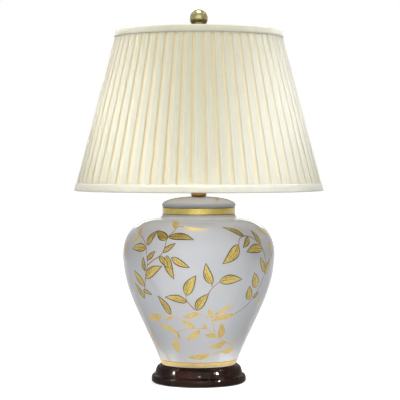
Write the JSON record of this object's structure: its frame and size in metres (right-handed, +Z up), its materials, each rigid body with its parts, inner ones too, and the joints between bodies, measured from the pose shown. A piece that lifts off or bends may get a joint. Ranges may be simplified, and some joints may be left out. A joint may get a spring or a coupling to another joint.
{
  "type": "table lamp",
  "caption": "Bedside table lamp: lidded porcelain jar on a turned wooden stand, box-pleated empire shade on a harp, brass ball finial, screw-in bulb and rotary switch.",
  "frame": {"origin": "on the table, at the middle of the stand's underside", "axes": "+Z up along the lamp's axis, -Y towards the viewer (the switch key's side), +Y towards the cord inlet, +X to the viewer's right"},
  "size_m": [0.4059, 0.406, 0.607],
  "materials": {
    "felt": "matt felt",
    "dark_wood": "dark espresso lacquer, glossy",
    "black_plastic": "moulded, matt",
    "plated_steel": "zinc plated",
    "gasket_rubber": "matt",
    "porcelain": "glossy clear glaze, slightly grey white",
    "satin_brass": "satin, lacquered",
    "brown_moulding": "moulded phenolic",
    "bare_brass": "bright, unlacquered",
    "liner_card": "fibre board",
    "bulb_metal": "rolled thread",
    "black_vitrite": "black glass",
    "opal_glass": "opal white, satin",
    "frame_wire": "white coated wire",
    "lining_cloth": "fine weave lining",
    "shade_cloth": "cream pleated cloth",
    "trim_cloth": "folded ivory binding"
  },
  "bodies": {
    "lamp": {"felt_pad": "felt", "wood_stand": "dark_wood", "cord_bushing": "black_plastic", "rod_nut": "plated_steel", "rod_washer": "plated_steel", "centre_rod": "plated_steel", "foot_gasket": "gasket_rubber", "jar": "porcelain", "jar_lid": "porcelain", "check_ring": "satin_brass", "harp_saddle": "satin_brass", "harp_wire": "satin_brass", "shade_stud": "satin_brass", "socket_cap": "satin_brass", "cap_set_screw": "plated_steel", "socket_interior": "brown_moulding", "terminal_screws": "bare_brass", "socket_liner": "liner_card", "socket_shell": "satin_brass", "screw_shell": "bare_brass", "centre_contact": "bare_brass"},
    "shade": {"fitter_hub": "satin_brass", "fitter_arms": "satin_brass", "shade_top_ring": "frame_wire", "shade_bottom_ring": "frame_wire", "shade_ribs": "frame_wire", "shade_lining": "lining_cloth", "pleated_cover": "shade_cloth", "top_trim": "trim_cloth", "bottom_trim": "trim_cloth"},
    "finial_screw": {"finial_insert": "bare_brass"},
    "finial_knob": {"finial": "satin_brass"},
    "bulb_screw": {"bulb_contact": "bulb_metal"},
    "bulb": {"bulb_insulator": "black_vitrite", "bulb_cap": "bulb_metal", "bulb_glass": "opal_glass"},
    "sleeve_left": {"harp_sleeve_left": "satin_brass"},
    "sleeve_right": {"harp_sleeve_right": "satin_brass"},
    "switch": {"switch_spindle": "bare_brass", "switch_key": "black_plastic"}
  },
  "joints": [
    {"name": "shade_turn", "type": "hinge", "parent": "lamp", "child": "shade", "pos_m": [0, 0, 0.5644], "axis": [0, 0, 1], "continuous": true},
    {"name": "finial_rise", "type": "slide", "parent": "lamp", "child": "finial_screw", "axis": [0, 0, 1], "range_m": [0, 0.00945]},
    {"name": "finial_turn", "type": "hinge", "parent": "finial_screw", "child": "finial_knob", "pos_m": [0, 0, 0.571], "axis": [0, 0, 1], "range_deg": [0, 3600]},
    {"name": "bulb_rise", "type": "slide", "parent": "lamp", "child": "bulb_screw", "axis": [0, 0, 1], "range_m": [0, 0.0182]},
    {"name": "bulb_turn", "type": "hinge", "parent": "bulb_screw", "child": "bulb", "pos_m": [0, 0, 0.36], "axis": [0, 0, 1], "range_deg": [0, 1800]},
    {"name": "sleeve_left_slide", "type": "slide", "parent": "lamp", "child": "sleeve_left", "axis": [0, 0, 1], "range_m": [0, 0.018]},
    {"name": "sleeve_right_slide", "type": "slide", "parent": "lamp", "child": "sleeve_right", "axis": [0, 0, 1], "range_m": [0, 0.018]},
    {"name": "switch_turn", "type": "hinge", "parent": "lamp", "child": "switch", "pos_m": [0, -0.02, 0.3391], "axis": [0, -1, 0], "continuous": true}
  ],
  "couplings": [
    {"joint": "finial_rise", "follows": "finial_turn", "m_per_rad": 0.00014961},
    {"joint": "bulb_rise", "follows": "bulb_turn", "m_per_rad": 0.00057773}
  ]
}
